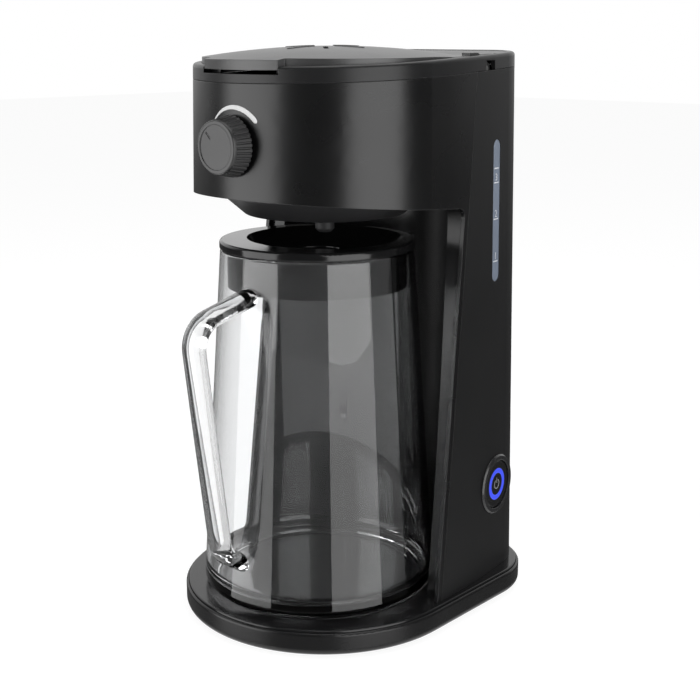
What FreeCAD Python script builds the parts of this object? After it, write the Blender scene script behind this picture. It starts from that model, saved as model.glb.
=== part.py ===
import FreeCAD, Part
import math
import os

# Cold brew coffee maker: a drip tower on a base, with a glass jug under its head.
# Lengths are in millimetres, +Z is up and the front faces -Y. The pieces are laid out about the
# axis of the bay that the jug stands in, and each is moved by BAY_Y when it is written, so that the
# origin lies on the table in the middle of the footprint. The jug's own axis is JUG_FORWARD nearer
# the front, and its handle reaches HANDLE_REACH from there.
HANDLE_REACH = 111.0
JUG_FORWARD = 7.0
BASE_BACK = 123.0
BAY_Y = (HANDLE_REACH + JUG_FORWARD - BASE_BACK) / 2

# Clearances
SEAT_GAP = 0.3
SEAM_GAP = 0.2
RUN_GAP = 0.06

# Base
FOOT_R = 8.0
FOOT_DROP = 2.0
FOOT_SUNK = 1.5
BASE_R = 93.0
BASE_CORNER = 47.0
BASE_TOP = 16.6
BASE_WALL = 2.5
BASE_BULLNOSE = 4.5
DECK_INSET = 1.8
DECK_TOP = 18.0
DECK_PLATE = 2.4
SEAT_R = 70.0
SEAT_RISE = 0.4
SEAT_SUNK = 1.0

# Screws up through the base
SCREW_R = 1.8
SCREW_HEAD_R = 3.4
SCREW_HEAD = 2.0
SCREW_PAD = 2.0
SCREW_BOSS_R = 5.0

# Tower, given as the plan at the deck and at the top
TOWER_TOP = 356.0
WALL = 2.8
HALF_W_LOW = 88.0
HALF_W_HIGH = 83.5
REACH_LOW = 85.5
REACH_HIGH = 77.0
BACK_LOW = 120.0
BACK_HIGH = 117.0
SIDE_R = 600.0
REAR_CORNER = 35.0
SEAM_Y = 11.0
SEAM_LEAN = 0.113
STRIP_W = 4.0
STRIP_BEND = 6.0
HEAD_FRONT_Z = 274.0
HEAD_FALL = 0.083
BAND_Z = 344.0
RIM_H = 9.3
RIM_RISE = 0.042
RIM_FLANGE = 5.2
RIM_ROUND = 2.2
FLANGE_DROP = 6.5

# Jug bay
BAY_R = 78.0
BAY_WALL = 2.5
CHEEK_SET = 3.0
FLOOR_Z = 276.0
FLOOR_T = 2.5

# Lid
LID_INSET = RIM_FLANGE + 0.4
LID_BACK = 52.0
LID_EDGE = 2.0
LID_WALL = 2.2
LID_CROWN = 8.0
LID_SPHERE = 500.0
TAB_HALF = 30.0
NOTCH_H = 2.2
VENT_IN = 14.0
VENT_OUT = 30.0
VENT_W = 3.2
HINGE_Y = 63.0
HINGE_Z = 347.5
PIN_R = 2.2
EAR_X = 70.0
EAR_W = 6.0
EAR_R = 4.6
SLOT_GAP = 0.6

# Brewing parts
TRAY_Z = 332.0
TRAY_T = 2.5
TRAY_BACK = 60.0
FUNNEL_R = 65.0
FUNNEL_LOW_R = 50.0
FUNNEL_Z = 259.0
FUNNEL_SHOULDER = 272.0
FUNNEL_WALL = 2.4
BASKET_R = 50.0
BASKET_LOW_R = 31.0
BASKET_Z = 268.0
BASKET_WALL = 2.0
FILTER_GAP = 1.2
FILTER_WALL = 0.8
OUTLET_R = 9.0
VALVE_R = 6.0
VALVE_TIP = 246.5
SHOWER_R = 26.0

# Water parts
TANK_Z = 130.0
TANK_WALL = 2.0
TANK_FRONT = 43.0
TANK_LEFT = -35.0
WING_X = 56.0
WING_Z = 286.0
WINDOW_Y = 72.5
WINDOW_LOW = 214.0
WINDOW_HIGH = 304.0
WINDOW_W = 9.0
HEATER_Z = 40.0
HEATER_R = 5.2
HEATER_Y = 97.0
HEATER_HALF = 8.8
HEATER_LEG = 40.0
HOSE_R = 4.5

# Power button on the right side
BUTTON_Y = 77.0
BUTTON_Z = 77.0
BEZEL_R = 20.0
BEZEL_BORE = 16.2
BEZEL_PROUD = 1.3
BEZEL_SUNK = 1.2
BEZEL_DEPTH = 13.0
BUTTON_R = 15.8
BUTTON_PROUD = 0.4
BUTTON_DEPTH = 9.0
BUTTON_TRAVEL = 2.5
RING_R = 10.6
RING_BORE = 7.4
RING_DEPTH = 1.2

# Strength knob
KNOB_Z = 305.0
KNOB_R = 15.4
KNOB_SKIRT_R = 18.0
KNOB_FACE_Y = -92.5
KNOB_GAP = 0.6
KNOB_RIBS = 36
SHAFT_R = 3.0
BUSH_R = 6.0
SELECTOR_R = 12.0
SELECTOR_LENGTH = 16.0

# Jug
JUG_BASE_Z = DECK_TOP + SEAT_RISE + SEAT_GAP
JUG_R = 75.5
JUG_RIM_R = 61.0
JUG_RIM_Z = 237.5
JUG_GLASS = 3.0
JUG_FLOOR = 6.0
HANDLE_W = 17.0
HANDLE_T = 11.0
LUG_TOP_Z = 214.0
LUG_LOW_Z = 48.0

# Jug lid
CAP_R = JUG_RIM_R + 0.4
CAP_RIM = 5.5
CAP_SKIRT_R = JUG_RIM_R - JUG_GLASS - 1.4
CAP_SKIRT_Z = 214.5
CAP_WALL = 2.2
DISH_R = 48.6
DISH_LOW_R = 41.0
DISH_SHIFT = 7.0
DISH_Z = 230.5
BOSS_R = 17.0
BOSS_H = 6.0

# Cord gland at the back
GLAND_X = 0.0
GLAND_Z = 27.0
GLAND_R = 6.0
GLAND_BORE = 3.4

FAR = 200.0


def V(x, y, z):
    return FreeCAD.Vector(x, y, z)


def cylinder(radius, start, axis, length):
    return Part.makeCylinder(radius, length, start, axis)


def box(low, high):
    return Part.makeBox(high[0] - low[0], high[1] - low[1], high[2] - low[2], V(*low))


def fuse(shapes):
    """Fuse a list of solids and clean the seams between them."""
    whole = shapes[0].multiFuse(shapes[1:])
    return whole.removeSplitter()


def corner_arc(before, corner, after, radius):
    """The arc of one rounded corner, as its start, middle and end."""
    u = (before - corner).normalize()
    w = (after - corner).normalize()
    half = u.getAngle(w) / 2
    run = radius / math.tan(half)
    start = corner + u * run
    end = corner + w * run
    out = (u + w).normalize()
    middle = corner + out * (radius / math.sin(half) - radius)
    return start, middle, end


def rounded_edges(points, radii, closed):
    """Straight runs joined by tangent arcs. A radius of 0 keeps a sharp corner."""
    count = len(points)
    stops = []
    for i, point in enumerate(points):
        inner = closed or 0 < i < count - 1
        if inner and radii[i] > 0:
            stops.append(corner_arc(points[i - 1], point, points[(i + 1) % count], radii[i]))
        else:
            stops.append((point, point, point))
    edges = []
    last = count if closed else count - 1
    for i in range(count):
        start, middle, end = stops[i]
        if (end - start).Length > 1e-6:
            edges.append(Part.Arc(start, middle, end).toShape())
        if i < last:
            begin = stops[(i + 1) % count][0]
            if (begin - end).Length > 1e-6:
                edges.append(Part.makeLine(end, begin))
    return edges


def side_prism(points, radii=None, half=FAR):
    """A prism across the machine from points (y, z), in the middle plane's view from +X."""
    corners = [V(-half, y, z) for y, z in points]
    radii = radii or [0] * len(points)
    wire = Part.Wire(rounded_edges(corners, radii, True))
    return Part.Face(wire).extrude(V(2 * half, 0, 0))


def revolved(points, radii=None):
    """A solid turned about the jug's axis from points (radius, z)."""
    corners = [V(r, 0, z) for r, z in points]
    radii = radii or [0] * len(points)
    wire = Part.Wire(rounded_edges(corners, radii, True))
    return Part.Face(wire).revolve(V(0, 0, 0), V(0, 0, 1), 360)


def tube(points, radii, radius):
    """A round bar along straight runs and tangent arcs."""
    corners = [V(*point) for point in points]
    path = Part.Wire(rounded_edges(corners, radii, False))
    start = corners[0]
    along = (corners[1] - corners[0]).normalize()
    ring = Part.Wire(Part.makeCircle(radius, start, along))
    return path.makePipeShell([ring], True, False)


def at_height(z, low, high):
    """A tower size at height z, between its values at the deck and at the top."""
    return low + (high - low) * (z - DECK_TOP) / (TOWER_TOP - DECK_TOP)


def tower_wire(z, inset):
    """The tower's plan: an elliptic front, slightly bowed sides and a round-cornered back."""
    half = at_height(z, HALF_W_LOW, HALF_W_HIGH)
    reach = at_height(z, REACH_LOW, REACH_HIGH)
    back = at_height(z, BACK_LOW, BACK_HIGH)
    side_x = half - SIDE_R
    corner_y = back - REAR_CORNER
    corner_x = side_x + math.sqrt((SIDE_R - REAR_CORNER) ** 2 - corner_y ** 2)
    turn = math.atan2(corner_y, corner_x - side_x)
    side = SIDE_R - inset
    corner = REAR_CORNER - inset

    def on_side(angle):
        return side_x + side * math.cos(angle), side * math.sin(angle)

    def on_corner(angle):
        return corner_x + corner * math.cos(angle), corner_y + corner * math.sin(angle)

    joint = on_side(turn)
    side_mid = on_side(turn / 2)
    corner_mid = on_corner((turn + math.pi / 2) / 2)
    heel = (corner_x, back - inset)
    ellipse = Part.Ellipse(V(0, 0, z), half - inset, reach - inset)
    front = Part.ArcOfEllipse(ellipse, math.pi, 2 * math.pi).toShape()
    right = [(half - inset, 0), side_mid, joint, corner_mid, heel]
    rp = [V(x, y, z) for x, y in right]
    lp = [V(-x, y, z) for x, y in right]
    edges = [front, Part.Arc(rp[0], rp[1], rp[2]).toShape(), Part.Arc(rp[2], rp[3], rp[4]).toShape()]
    edges.append(Part.makeLine(rp[4], lp[4]))
    edges += [Part.Arc(lp[4], lp[3], lp[2]).toShape(), Part.Arc(lp[2], lp[1], lp[0]).toShape()]
    return Part.Wire(edges)


def tower_block(low, high, inset):
    """The tower's drafted form between two heights, drawn in by an inset."""
    return Part.makeLoft([tower_wire(low, inset), tower_wire(high, inset)], True, True)


def tower_shell(low, high, outer, inner):
    return tower_block(low, high, outer).cut(tower_block(low - 1, high + 1, inner))


def base_wire(z, inset):
    """The base's plan: a half circle about the jug, straight sides and round rear corners."""
    r = BASE_R - inset
    back = BASE_BACK - inset
    corner = BASE_CORNER - inset
    diag = corner * math.sqrt(0.5)
    cx = r - corner
    cy = back - corner
    front = Part.Arc(V(-r, 0, z), V(0, -r, z), V(r, 0, z)).toShape()
    right = Part.Arc(V(r, cy, z), V(cx + diag, cy + diag, z), V(cx, back, z)).toShape()
    left = Part.Arc(V(-cx, back, z), V(-cx - diag, cy + diag, z), V(-r, cy, z)).toShape()
    lines = [Part.makeLine(V(r, 0, z), V(r, cy, z)), Part.makeLine(V(cx, back, z), V(-cx, back, z))]
    lines.append(Part.makeLine(V(-r, cy, z), V(-r, 0, z)))
    return Part.Wire([front, lines[0], right, lines[1], left, lines[2]])


def base_block(low, high, inset):
    return Part.Face(base_wire(low, inset)).extrude(V(0, 0, high - low))


def seam_y(z):
    """The leaning seam between the front housing and the side panels."""
    return SEAM_Y + SEAM_LEAN * (z - DECK_TOP)


def head_z(y):
    """The head's lower edge, which falls towards the rear."""
    reach = at_height(HEAD_FRONT_Z, REACH_LOW, REACH_HIGH)
    return HEAD_FRONT_Z - HEAD_FALL * (y + reach)


def band_z(y):
    """The seam under the top rim, which rises towards the rear."""
    return BAND_Z + RIM_RISE * y


def rim_z(y):
    return band_z(y) + RIM_H


def foot_places():
    front = (BASE_R - BASE_BULLNOSE - FOOT_R - 4) * math.sqrt(0.5)
    side = BASE_R - BASE_BULLNOSE - FOOT_R - 13
    rear = BASE_BACK - BASE_BULLNOSE - FOOT_R - 13
    return [(-front, -front), (front, -front), (side, rear), (-side, rear)]


def screw_places():
    side = HALF_W_LOW - WALL - 20
    return [(side, 25), (-side, 25), (45, BACK_LOW - WALL - 11), (-45, BACK_LOW - WALL - 11)]


def base_shell():
    """The moulded tray with its bullnose edge, foot pockets and screw holes."""
    shell = base_block(FOOT_DROP, BASE_TOP, 0)
    low = [e for e in shell.Edges if e.BoundBox.ZMax < FOOT_DROP + 0.01]
    shell = shell.makeFillet(BASE_BULLNOSE, low)
    high = [e for e in shell.Edges if e.BoundBox.ZMin > BASE_TOP - 0.01]
    shell = shell.makeFillet(1.6, high)
    floor = FOOT_DROP + BASE_WALL
    shell = shell.cut(base_block(floor, DECK_TOP, BASE_BULLNOSE))
    shell = shell.cut(base_block(DECK_TOP - DECK_PLATE, DECK_TOP, DECK_INSET - SEAM_GAP))
    pads = []
    cuts = []
    for x, y in foot_places():
        cuts.append(cylinder(FOOT_R + 0.05, V(x, y, FOOT_DROP - 1), V(0, 0, 1), FOOT_SUNK + 1))
    for x, y in screw_places():
        pads.append(cylinder(SCREW_BOSS_R, V(x, y, floor), V(0, 0, 1), SCREW_PAD))
        cuts.append(cylinder(SCREW_R + 0.05, V(x, y, 0), V(0, 0, 1), BASE_TOP))
        cuts.append(cylinder(SCREW_HEAD_R + 0.2, V(x, y, 0), V(0, 0, 1), floor))
    return fuse([shell] + pads).cut(Part.makeCompound(cuts))


def base_deck():
    """The gloss deck that closes the tray, with its screw bosses and the seat's recess."""
    low = DECK_TOP - DECK_PLATE
    deck = base_block(low, DECK_TOP, DECK_INSET)
    high = [e for e in deck.Edges if e.BoundBox.ZMin > DECK_TOP - 0.01]
    deck = deck.makeFillet(0.9, high)
    floor = FOOT_DROP + BASE_WALL + SCREW_PAD + 0.1
    bosses = []
    for x, y in screw_places():
        bosses.append(cylinder(SCREW_BOSS_R, V(x, y, floor), V(0, 0, 1), low - floor + 0.5))
    deck = fuse([deck] + bosses)
    cuts = [cylinder(SEAT_R + 0.1, V(0, -JUG_FORWARD, DECK_TOP - SEAT_SUNK), V(0, 0, 1), FAR)]
    for x, y in screw_places():
        cuts.append(cylinder(SCREW_R + 0.05, V(x, y, 0), V(0, 0, 1), DECK_TOP - 1))
    return deck.cut(Part.makeCompound(cuts))


def at_jug(piece):
    """A piece made about the jug's own axis, moved to where the jug stands."""
    piece.translate(V(0, -JUG_FORWARD, 0))
    return piece


def jug_seat():
    """The raised disc that the jug stands on, with a shallow ring round its middle."""
    low = DECK_TOP - SEAT_SUNK
    high = DECK_TOP + SEAT_RISE
    ring = SEAT_R - 9
    points = [(0, low), (SEAT_R, low), (SEAT_R, high), (ring, high), (ring - 1, high - 0.7), (0, high - 0.7)]
    return at_jug(revolved(points, [0, 0, 0.3, 0, 0, 0]))


def rubber_feet():
    feet = []
    for x, y in foot_places():
        foot = Part.makeCone(FOOT_R - 1.2, FOOT_R, FOOT_DROP, V(x, y, 0))
        stem = cylinder(FOOT_R, V(x, y, FOOT_DROP), V(0, 0, 1), FOOT_SUNK)
        feet.append(fuse([foot, stem]))
    return Part.makeCompound(feet)


def base_screws():
    screws = []
    seat = FOOT_DROP + BASE_WALL - 0.1
    for x, y in screw_places():
        head = Part.makeCone(SCREW_HEAD_R - 0.6, SCREW_HEAD_R, SCREW_HEAD, V(x, y, seat - SCREW_HEAD))
        shank = cylinder(SCREW_R, V(x, y, seat - 0.5), V(0, 0, 1), DECK_TOP - 2 - seat)
        screws.append(fuse([head, shank]))
    return Part.makeCompound(screws)


def front_outline():
    """The front housing seen from the side: the head with a narrow leg down the seam."""
    lean = SEAM_Y - STRIP_W - SEAM_LEAN * DECK_TOP
    reach = at_height(HEAD_FRONT_Z, REACH_LOW, REACH_HIGH)
    z = (HEAD_FRONT_Z - HEAD_FALL * (lean + reach)) / (1 + HEAD_FALL * SEAM_LEAN)
    y = seam_y(z) - STRIP_W
    top = seam_y(BAND_Z) - SEAM_GAP
    top_z = band_z(top) - SEAM_GAP
    foot = seam_y(DECK_TOP) - SEAM_GAP
    points = [(-FAR, head_z(-FAR)), (y, z), (foot + SEAM_GAP - STRIP_W, DECK_TOP), (foot, DECK_TOP)]
    points += [(top, top_z), (-FAR, band_z(-FAR) - SEAM_GAP)]
    return points, [0, STRIP_BEND, 0, 0, 0, 0]


def front_housing():
    """The head's wrap-round skirt with its two legs, bored for the knob's bush."""
    points, radii = front_outline()
    shell = tower_shell(DECK_TOP, TOWER_TOP, 0, WALL).common(side_prism(points, radii))
    bore = cylinder(BUSH_R + 0.05, V(0, -FAR, KNOB_Z), V(0, 1, 0), FAR)
    return shell.cut(bore)


def side_frame():
    """Where the power button sits: a point on the right side, and the way it faces."""
    half = at_height(BUTTON_Z, HALF_W_LOW, HALF_W_HIGH)
    turn = math.asin(BUTTON_Y / SIDE_R)
    x = half - SIDE_R + SIDE_R * math.cos(turn)
    return V(x, BUTTON_Y, BUTTON_Z), V(math.cos(turn), math.sin(turn), 0)


def button_disc(radius, proud, depth):
    """A disc on the button's axis, from proud of the panel to a depth inside it."""
    centre, out = side_frame()
    return cylinder(radius, centre - out * depth, out, depth + proud)


def window_slot(clearance):
    """The sight window's round-ended slot through the right side."""
    r = WINDOW_W / 2 + clearance
    low = WINDOW_LOW + WINDOW_W / 2
    high = WINDOW_HIGH - WINDOW_W / 2
    middle = box((40, WINDOW_Y - r, low), (FAR, WINDOW_Y + r, high))
    ends = [cylinder(r, V(40, WINDOW_Y, z), V(1, 0, 0), FAR - 40) for z in (low, high)]
    return fuse([middle] + ends)


def rear_housing():
    """The side panels and back in one moulding, open at the front and top."""
    foot = seam_y(DECK_TOP) + SEAM_GAP
    top = seam_y(BAND_Z) + SEAM_GAP
    points = [(foot, DECK_TOP), (FAR, DECK_TOP), (FAR, band_z(FAR) - SEAM_GAP), (top, band_z(top) - SEAM_GAP)]
    shell = tower_shell(DECK_TOP, TOWER_TOP + 10, 0, WALL).common(side_prism(points))
    cuts = [window_slot(0), button_disc(BEZEL_R + 0.2, 10, BEZEL_SUNK), button_disc(BEZEL_BORE + 1.7, 10, 20)]
    cuts.append(cylinder(GLAND_R + 0.05, V(GLAND_X, 60, GLAND_Z), V(0, 1, 0), FAR))
    return shell.cut(Part.makeCompound(cuts))


def cavity_wall():
    """The gloss liner round the jug: a hollow cylinder face between two flat leaning cheeks."""
    outer = BAY_R + BAY_WALL
    set_back = STRIP_W - CHEEK_SET
    foot = seam_y(DECK_TOP) - set_back
    top = seam_y(FLOOR_Z) - set_back
    face = [(foot, DECK_TOP), (foot + BAY_WALL, DECK_TOP), (top + BAY_WALL, FLOOR_Z), (top, FLOOR_Z)]
    behind = [(foot, DECK_TOP), (FAR, DECK_TOP), (FAR, FLOOR_Z), (top, FLOOR_Z)]
    cheeks = tower_block(DECK_TOP, TOWER_TOP, WALL + SEAT_GAP).common(side_prism(face))
    drum = cylinder(outer, V(0, 0, DECK_TOP), V(0, 0, 1), FLOOR_Z - DECK_TOP).common(side_prism(behind))
    bay = cylinder(BAY_R, V(0, 0, 0), V(0, 0, 1), FAR * 2)
    return fuse([cheeks, drum]).cut(bay)


def head_floor():
    """The plate that closes the head from below, round the brew funnel."""
    block = tower_block(FLOOR_Z, FLOOR_Z + FLOOR_T, WALL + SEAT_GAP)
    front = box((-FAR, -FAR, 0), (FAR, TANK_FRONT - 1.5, FAR * 2))
    drum = cylinder(BAY_R + BAY_WALL, V(0, 0, FLOOR_Z), V(0, 0, 1), FLOOR_T)
    plate = fuse([block.common(front), block.common(drum)])
    return plate.cut(cylinder(FUNNEL_R + SEAT_GAP, V(0, 0, 0), V(0, 0, 1), FAR * 2))


def rim_outline(low, high):
    """The layer between two heights over the rim's top, which rises towards the rear."""
    front, rear = rim_z(-FAR), rim_z(FAR)
    return side_prism([(-FAR, front + low), (FAR, rear + low), (FAR, rear + high), (-FAR, front + high)])


def top_rim():
    """The band round the head's top, with the flange and ledge that hold the lid."""
    low, high = BAND_Z - 20, TOWER_TOP + 20
    band = tower_shell(low, high, 0, WALL).common(rim_outline(-RIM_H, 0))
    crown = [e for e in band.Edges if is_outer_top(e)]
    band = band.makeFillet(RIM_ROUND, crown)
    flange = tower_shell(low, high, WALL - 0.5, RIM_FLANGE)
    flange = flange.common(rim_outline(-FLANGE_DROP, 0))
    ledge = tower_shell(low, high, RIM_FLANGE - 0.5, RIM_FLANGE + 3.5)
    ledge = ledge.common(rim_outline(-FLANGE_DROP, -LID_EDGE - 0.1))
    rim = fuse([band, flange, ledge])
    front = -at_height(BAND_Z, REACH_LOW, REACH_HIGH)
    tab_low = rim_z(front) - LID_EDGE - NOTCH_H
    notch = box((-TAB_HALF - SLOT_GAP, -FAR, tab_low), (TAB_HALF + SLOT_GAP, front + 12, FAR * 2))
    pin_gap = box((EAR_X - 2, HINGE_Y - 5.5, HINGE_Z - 4.6), (FAR, HINGE_Y + 5.5, HINGE_Z + 5))
    cuts = [notch, pin_gap, pin_gap.mirror(V(0, 0, 0), V(1, 0, 0))]
    return rim.cut(Part.makeCompound(cuts)).cut(Part.makeCompound(hinge_slots(SLOT_GAP, 300, 400)))


def is_outer_top(edge):
    """Whether an edge of the band lies on its outer face's upper rim."""
    for vertex in edge.Vertexes:
        if abs(vertex.Z - rim_z(vertex.Y)) > 0.01:
            return False
    mid = edge.valueAt((edge.FirstParameter + edge.LastParameter) / 2)
    if abs(mid.z - rim_z(mid.y)) > 0.01:
        return False
    inner = tower_block(BAND_Z - 30, TOWER_TOP + 30, WALL / 2)
    return not inner.isInside(mid, 0.01, False)


def hinge_slots(gap, low, high):
    """The spaces in the rear deck through which the lid's two arms swing."""
    front, back = LID_BACK - 6, HINGE_Y + 12
    slot = box((EAR_X - gap, front, low), (EAR_X + EAR_W + gap, back, high))
    return [slot, slot.mirror(V(0, 0, 0), V(1, 0, 0))]


def rear_deck():
    """The fixed cover behind the lid, with the bosses that hold the hinge pins."""
    front = LID_BACK + 0.8
    points = [(front, rim_z(front) - LID_EDGE), (FAR, rim_z(FAR) - LID_EDGE), (FAR, rim_z(FAR) - 0.3)]
    points.append((front, rim_z(front) - 0.3))
    inside = tower_block(BAND_Z - 20, TOWER_TOP + 20, RIM_FLANGE + 0.2)
    plate = inside.common(side_prism(points))
    low = HINGE_Z - EAR_R - 0.5
    inner, outer = EAR_X - SLOT_GAP - 6, EAR_X - SLOT_GAP
    boss = box((inner, HINGE_Y - 5, low), (outer, HINGE_Y + 5, rim_z(HINGE_Y) - 1.5))
    bosses = [boss, boss.mirror(V(0, 0, 0), V(1, 0, 0))]
    deck = fuse([plate] + bosses)
    bore = cylinder(PIN_R + 0.02, V(-FAR, HINGE_Y, HINGE_Z), V(1, 0, 0), 2 * FAR)
    return deck.cut(Part.makeCompound(hinge_slots(SLOT_GAP, 300, 400) + [bore]))


def hinge_pins():
    start = EAR_X - SLOT_GAP - 5.5
    pin = cylinder(PIN_R, V(start, HINGE_Y, HINGE_Z), V(1, 0, 0), EAR_X + EAR_W + 1.2 - start)
    pin = pin.makeChamfer(0.4, [e for e in pin.Edges if e.BoundBox.XMin > EAR_X + EAR_W])
    return Part.makeCompound([pin, pin.mirror(V(0, 0, 0), V(1, 0, 0))])


def lid_dome(drop):
    """The ball whose cap gives the lid its crown, lowered by a wall's thickness."""
    middle = (LID_BACK - at_height(BAND_Z, REACH_LOW, REACH_HIGH)) / 2
    crest = rim_z(middle) + LID_CROWN
    lean = math.atan(RIM_RISE)
    y = middle + LID_SPHERE * math.sin(lean)
    z = crest - LID_SPHERE * math.cos(lean)
    return Part.makeSphere(LID_SPHERE - drop, V(0, y, z), V(0, 0, 1), 60, 90, 360)


def vent_slot(angle):
    slot = box((VENT_IN, -VENT_W / 2, 330), (VENT_OUT, VENT_W / 2, 380))
    ends = [cylinder(VENT_W / 2, V(x, 0, 330), V(0, 0, 1), 50) for x in (VENT_IN, VENT_OUT)]
    slot = fuse([slot] + ends)
    slot.rotate(V(0, 0, 0), V(0, 0, 1), angle)
    return slot


def vent_rib(angle):
    rib = box((VENT_IN - 5, -0.8, 330), (VENT_OUT + 2, 0.8, 380))
    rib.rotate(V(0, 0, 0), V(0, 0, 1), angle)
    return rib


def lid_ear():
    """One hinge arm: a hook from the lid's rear edge round the pin."""
    top = rim_z(LID_BACK) + LID_EDGE
    low = rim_z(LID_BACK) - 0.2
    root = LID_BACK - 5
    points = [(root, top - 0.4), (root, low), (HINGE_Y - 4.4, HINGE_Z - 1.4), (HINGE_Y, HINGE_Z)]
    points += [(HINGE_Y + 3.2, HINGE_Z + 3.2), (LID_BACK + 3.5, top - 0.4)]
    arm = side_prism(points, None, EAR_W / 2)
    arm.translate(V(EAR_X + EAR_W / 2, 0, 0))
    barrel = cylinder(EAR_R, V(EAR_X, HINGE_Y, HINGE_Z), V(1, 0, 0), EAR_W)
    ear = fuse([arm, barrel])
    return ear.cut(cylinder(PIN_R + RUN_GAP, V(0, HINGE_Y, HINGE_Z), V(1, 0, 0), FAR))


def top_lid():
    """The crowned lid with its finger tab, steam slots, raised ribs and two hinge arms."""
    low, high = BAND_Z - 20, TOWER_TOP + 20
    front = box((-FAR, -FAR, 0), (FAR, LID_BACK, FAR * 2))
    body = tower_block(low, high, LID_INSET).common(front)
    tab = tower_block(low, high, 0.3).common(box((-TAB_HALF, -FAR, 0), (TAB_HALF, -50, FAR * 2)))
    plan = fuse([body, tab])
    slab = plan.common(rim_outline(-LID_EDGE, 0.2))
    crown = plan.common(rim_outline(-LID_EDGE, 20)).common(lid_dome(0))
    inner = tower_block(low, high, LID_INSET + 6).common(box((-FAR, -FAR, 0), (FAR, LID_BACK - 8, FAR * 2)))
    hollow = inner.common(rim_outline(-10, 20))
    hollow = hollow.common(lid_dome(LID_WALL + 0.6))
    lid = fuse([slab, crown]).cut(hollow)
    ribs = [vent_rib(a).common(lid_dome(-0.5)).cut(lid_dome(0.4)) for a in (0, 90, 180, 270)]
    ear = lid_ear()
    lid = fuse([lid, ear, ear.mirror(V(0, 0, 0), V(1, 0, 0))] + ribs)
    return lid.cut(Part.makeCompound([vent_slot(a) for a in (45, 135, 225, 315)]))


def shower_head():
    """The spray disc under the lid that spreads the hot water over the basket."""
    low = TRAY_Z + TRAY_T + 7
    disc = cylinder(SHOWER_R, V(0, 0, low), V(0, 0, 1), 3)
    neck = cylinder(9, V(0, 0, low), V(0, 0, 1), 40).common(lid_dome(LID_WALL + 0.6))
    head = fuse([disc, neck])
    holes = []
    for ring, count in ((8, 6), (16, 10), (22, 14)):
        for i in range(count):
            a = 2 * math.pi * i / count
            holes.append(cylinder(0.9, V(ring * math.cos(a), ring * math.sin(a), low - 1), V(0, 0, 1), 2.6))
    return head.cut(Part.makeCompound(holes))


def inner_tray():
    """The shelf under the lid, with the basket's seat and the water inlet beside it."""
    plate = tower_block(TRAY_Z, TRAY_Z + TRAY_T, WALL + SEAT_GAP)
    plate = plate.common(box((-FAR, -FAR, 0), (FAR, TRAY_BACK, FAR * 2)))
    seat = cylinder(BASKET_R + 1.0, V(0, 0, 0), V(0, 0, 1), FAR * 2)
    inlet = box((WING_X + 4, 8, 0), (HALF_W_HIGH - WALL - 6, TANK_FRONT + 4, FAR * 2))
    edges = [e for e in inlet.Edges if abs(e.Vertexes[0].Z - e.Vertexes[1].Z) > 10]
    return plate.cut(seat).cut(inlet.makeFillet(4, edges))


def brew_funnel():
    """The fixed funnel that shows below the head and leads the brew to the drip stop."""
    top = FLOOR_Z + FLOOR_T + SEAT_GAP
    t = FUNNEL_WALL
    points = [(OUTLET_R - t, FUNNEL_Z - 5), (OUTLET_R, FUNNEL_Z - 5), (OUTLET_R, FUNNEL_Z)]
    points += [(FUNNEL_LOW_R, FUNNEL_Z), (FUNNEL_R, FUNNEL_SHOULDER), (FUNNEL_R, top), (FUNNEL_R + 4, top)]
    points += [(FUNNEL_R + 4, top + t), (FUNNEL_R - t, top + t), (FUNNEL_R - t, FUNNEL_SHOULDER + 1)]
    points += [(FUNNEL_LOW_R - t, FUNNEL_Z + t), (OUTLET_R - t, FUNNEL_Z + t)]
    funnel = revolved(points, [0, 0, 0, 3.0, 4.0, 0, 0, 0, 0, 2.0, 1.0, 0])
    return funnel


def basket_profile(offset, top, low):
    """Half the basket's outline, drawn in by an offset: steep walls over a tapered bowl."""
    return [(BASKET_R - offset, top), (BASKET_R - 5 - offset, 290), (BASKET_LOW_R - offset, low)]


def brew_basket():
    """The lift-out basket, hung by its rim on the tray, with a hole over the drip stop."""
    rim = TRAY_Z + TRAY_T + SEAT_GAP
    outer = basket_profile(0, rim, BASKET_Z)
    inner = basket_profile(BASKET_WALL, rim + 1.5, BASKET_Z + BASKET_WALL)
    points = [(OUTLET_R - 3, BASKET_Z)] + outer[::-1]
    points += [(BASKET_R + 4, rim), (BASKET_R + 4, rim + 1.5)] + inner
    points.append((OUTLET_R - 3, BASKET_Z + BASKET_WALL))
    return revolved(points, [0, 4, 6, 0, 0, 0, 0, 6, 3, 0])


def filter_basket():
    """The fine mesh filter that holds the grounds, standing in the basket on its rim."""
    rim = TRAY_Z + TRAY_T + SEAT_GAP + 1.5 + SEAT_GAP
    gap = BASKET_WALL + FILTER_GAP
    outer = basket_profile(gap, rim, BASKET_Z + 6)
    inner = basket_profile(gap + FILTER_WALL, rim + 1.2, BASKET_Z + 6 + FILTER_WALL)
    points = [(0, BASKET_Z + 6)] + outer[::-1] + [(BASKET_R + 2, rim), (BASKET_R + 2, rim + 1.2)]
    points += inner + [(0, BASKET_Z + 6 + FILTER_WALL)]
    return revolved(points)


def drip_stop_valve():
    """The sprung plunger that the jug's lid pushes up to let the brew through."""
    stem = OUTLET_R - FUNNEL_WALL - SEAT_GAP
    seat = FUNNEL_Z + FUNNEL_WALL + SEAT_GAP
    points = [(0, VALVE_TIP), (VALVE_R - 2, VALVE_TIP), (VALVE_R, VALVE_TIP + 2), (VALVE_R, FUNNEL_Z - 1)]
    flange = stem + 2.4
    points += [(stem, FUNNEL_Z - 1), (stem, seat), (flange, seat), (flange, seat + 1.6), (0, seat + 1.6)]
    return revolved(points)


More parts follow.
